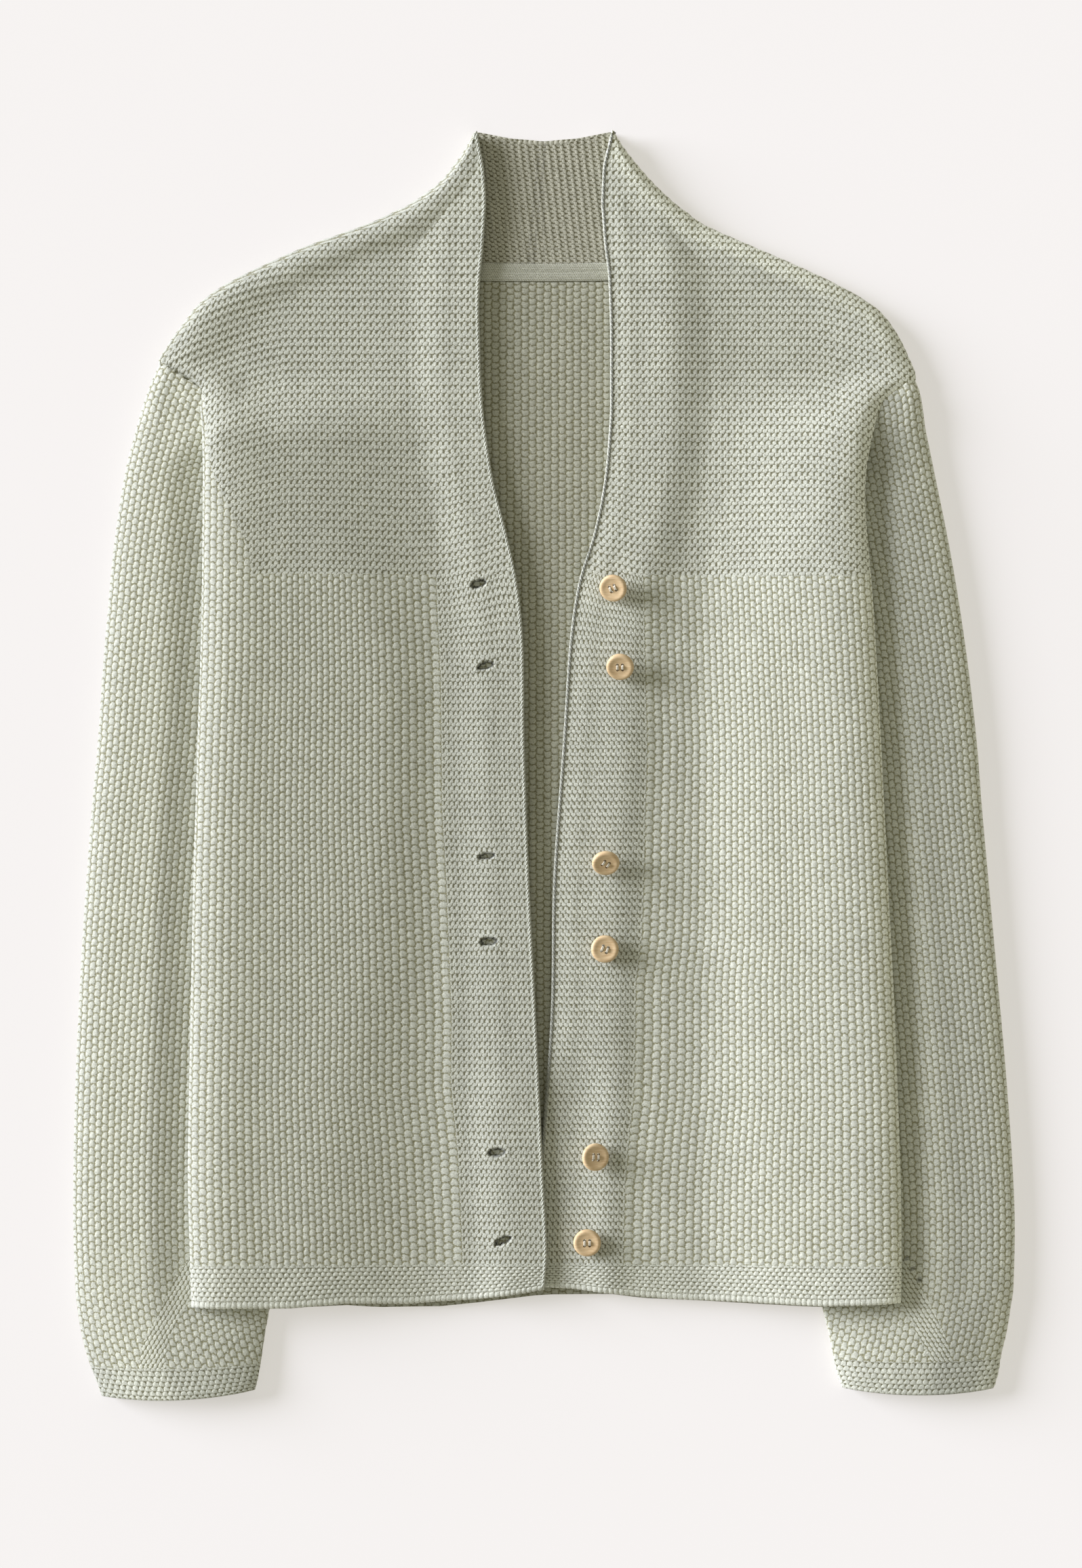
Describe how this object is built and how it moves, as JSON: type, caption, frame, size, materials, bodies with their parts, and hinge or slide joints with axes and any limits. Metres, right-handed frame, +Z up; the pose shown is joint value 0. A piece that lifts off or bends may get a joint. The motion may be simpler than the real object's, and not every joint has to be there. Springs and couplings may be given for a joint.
{
  "type": "button cardigan",
  "caption": "Chunky knitted cotton cardigan with a stand collar, a front left open and tan buttons, laid flat on its back.",
  "frame": {"origin": "middle of the laid garment's outline, on the surface it lies on", "axes": "+Y towards the collar, +X towards the wearer's left sleeve, +Z up out of the fronts"},
  "size_m": [0.5292, 0.7123, 0.0224],
  "materials": {
    "back_knit": "matt cotton moss stitch, sage green",
    "front_knit": "matt cotton garter and moss stitch, sage green",
    "collar_knit": "matt cotton garter stitch, sage green",
    "sleeve_knit": "matt cotton moss stitch, sage green",
    "neck_tape_rib": "fine ribbed tape, pale sage",
    "button_wood": "satin turned wood, pale tan"
  },
  "bodies": {
    "root": {"back": "back_knit", "front_right": "front_knit", "front_left": "front_knit", "collar_right": "collar_knit", "collar_left": "collar_knit", "neck_tape": "neck_tape_rib", "sleeve_right": "sleeve_knit", "sleeve_left": "sleeve_knit", "button_1": "button_wood", "button_2": "button_wood", "button_3": "button_wood", "button_4": "button_wood", "button_5": "button_wood", "button_6": "button_wood"}
  },
  "joints": []
}
